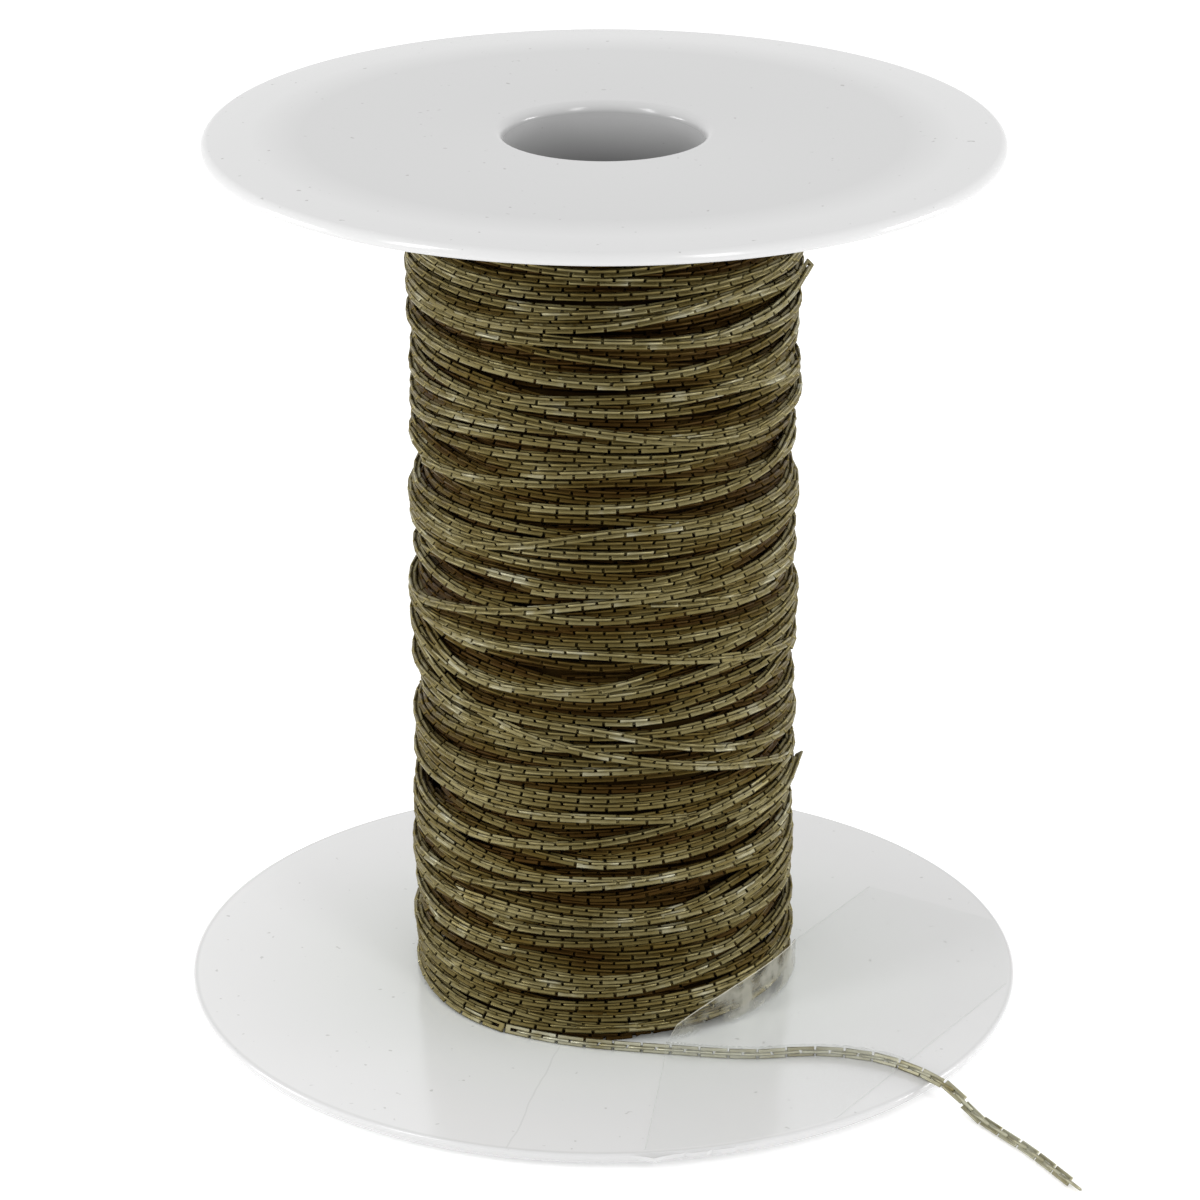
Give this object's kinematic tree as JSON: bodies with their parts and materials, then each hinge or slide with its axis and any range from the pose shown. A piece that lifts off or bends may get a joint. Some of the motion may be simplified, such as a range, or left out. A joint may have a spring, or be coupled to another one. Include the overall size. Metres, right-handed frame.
{
  "type": "chain spool",
  "caption": "Flanged plastic spool standing on end, wound with fine brass chain, its free end held down on the lower flange by a strip of clear tape.",
  "frame": {"origin": "on the spool's axis, at the lower flange's outer face, which rests on the surface", "axes": "+Z is the spool's axis, towards the upper flange. -Y is the front, where the chain's free end leaves the winding, and +X is to the right of it"},
  "size_m": [0.0713, 0.0724, 0.0738],
  "materials": {
    "flange_plastic": "white, slightly translucent moulded plastic, satin, lightly scuffed",
    "barrel_plastic": "white plastic tube",
    "antique_brass": "antiqued: olive brown on the faces, nearly black between the links",
    "clear_film": "clear adhesive tape, slightly hazy"
  },
  "bodies": {
    "root": {"upper_flange": "flange_plastic", "lower_flange": "flange_plastic", "barrel": "barrel_plastic", "start_tape": "clear_film", "inner_winding": "antique_brass", "outer_winding": "antique_brass", "inner_chain_end": "antique_brass", "outer_chain_start": "antique_brass", "chain_tail": "antique_brass", "tail_tape": "clear_film"}
  },
  "joints": []
}
